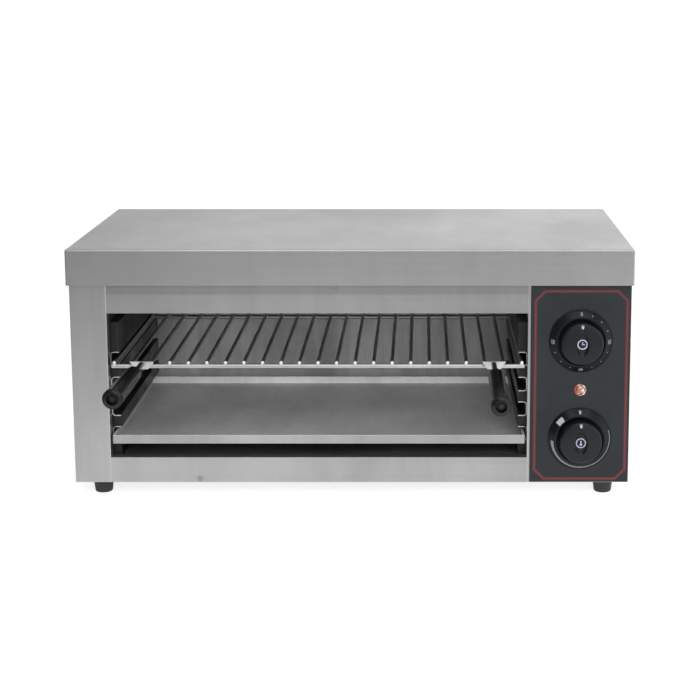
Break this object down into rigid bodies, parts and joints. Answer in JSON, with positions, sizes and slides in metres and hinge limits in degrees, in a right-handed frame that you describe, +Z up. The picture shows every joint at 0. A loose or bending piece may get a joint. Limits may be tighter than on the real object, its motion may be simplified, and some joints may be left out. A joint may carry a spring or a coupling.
{
  "type": "countertop cheese melter",
  "caption": "Countertop cheese melter: open-fronted sheet steel grill with a sliding wire rack on two handles, a drip tray, and a control box with a timer dial, a heat dial and a pilot lamp.",
  "frame": {"origin": "middle of the whole footprint, handles and cable gland included, on the surface it stands on", "axes": "+X to the right seen from the front, along the width; +Y towards the back; +Z up"},
  "size_m": [0.61, 0.5212, 0.28],
  "materials": {
    "stainless_sheet": "brushed along the sheet, edges softened",
    "back_sheet": "plain mill finish",
    "cavity_sheet": "satin, darkened by heat",
    "black_enamel": "black, low gloss",
    "fascia_black": "fine satin with a dark red border line",
    "plated_wire": "bright plated wire",
    "stem_steel": "drawn rod",
    "grip_moulding": "moulded, slightly glossy",
    "tray_sheet": "satin sheet",
    "knob_moulding": "fine texture",
    "dial_moulding": "satin",
    "element_sheath": "oxidised sheath",
    "ceramic_white": "unglazed",
    "bright_fixings": "zinc plated",
    "brass_parts": "plain",
    "control_housing": "moulded",
    "terminal_moulding": "moulded",
    "gland_nylon": "moulded",
    "lamp_amber": "clear, faceted inside",
    "foot_rubber": "moulded",
    "live_insulation": "silicone sleeve",
    "neutral_insulation": "silicone sleeve",
    "earth_insulation": "silicone sleeve"
  },
  "bodies": {
    "housing": {"top_cover": "stainless_sheet", "left_side_panel": "stainless_sheet", "right_side_panel": "stainless_sheet", "back_panel": "back_sheet", "base_plate": "back_sheet", "header_panel": "stainless_sheet", "sill_panel": "stainless_sheet", "front_rivets": "bright_fixings", "control_plate": "stainless_sheet", "control_fascia": "fascia_black", "partition_wall": "back_sheet", "cavity_left_wall": "black_enamel", "cavity_back_wall": "cavity_sheet", "cavity_floor": "black_enamel", "cavity_ceiling": "back_sheet", "rack_guide_left": "black_enamel", "rack_guide_right": "black_enamel", "element_bushes": "ceramic_white", "element_hangers": "bright_fixings", "element_links": "brass_parts", "timer_body": "control_housing", "timer_dial_ring": "dial_moulding", "heat_regulator_body": "control_housing", "heat_dial_ring": "dial_moulding", "control_screws": "bright_fixings", "pilot_lamp_lens": "lamp_amber", "pilot_lamp_body": "control_housing", "pilot_lamp_clip": "bright_fixings", "cable_gland": "gland_nylon", "gland_locknut": "gland_nylon", "terminal_block": "terminal_moulding", "earth_stud": "brass_parts", "live_leads": "live_insulation", "neutral_lead": "neutral_insulation", "earth_lead": "earth_insulation", "rubber_feet": "foot_rubber", "foot_screws": "bright_fixings", "foot_nuts": "bright_fixings", "back_screws": "bright_fixings", "lid_screws": "bright_fixings", "heating_element_front": "element_sheath", "heating_element_middle": "element_sheath", "heating_element_rear": "element_sheath"},
    "rack": {"wire_rack": "plated_wire", "handle_bracket_left": "plated_wire", "handle_bracket_right": "plated_wire", "handle_stem_left": "stem_steel", "handle_stem_right": "stem_steel", "handle_grip_left": "grip_moulding", "handle_grip_right": "grip_moulding", "handle_nuts": "bright_fixings"},
    "tray": {"drip_tray": "tray_sheet"},
    "timer_dial": {"timer_knob": "knob_moulding", "timer_shaft": "bright_fixings"},
    "heat_dial": {"heat_knob": "knob_moulding", "heat_shaft": "bright_fixings"}
  },
  "joints": [
    {"name": "rack_slide", "type": "slide", "parent": "housing", "child": "rack", "axis": [0, -1, 0], "range_m": [0, 0.2]},
    {"name": "tray_slide", "type": "slide", "parent": "housing", "child": "tray", "axis": [0, -1, 0], "range_m": [0, 0.2]},
    {"name": "timer_turn", "type": "hinge", "parent": "housing", "child": "timer_dial", "pos_m": [0.24915, -0.08074, 0.1788], "axis": [0, 1, 0], "range_deg": [0, 270]},
    {"name": "heat_turn", "type": "hinge", "parent": "housing", "child": "heat_dial", "pos_m": [0.24915, -0.08074, 0.0698], "axis": [0, 1, 0], "range_deg": [0, 308]}
  ]
}
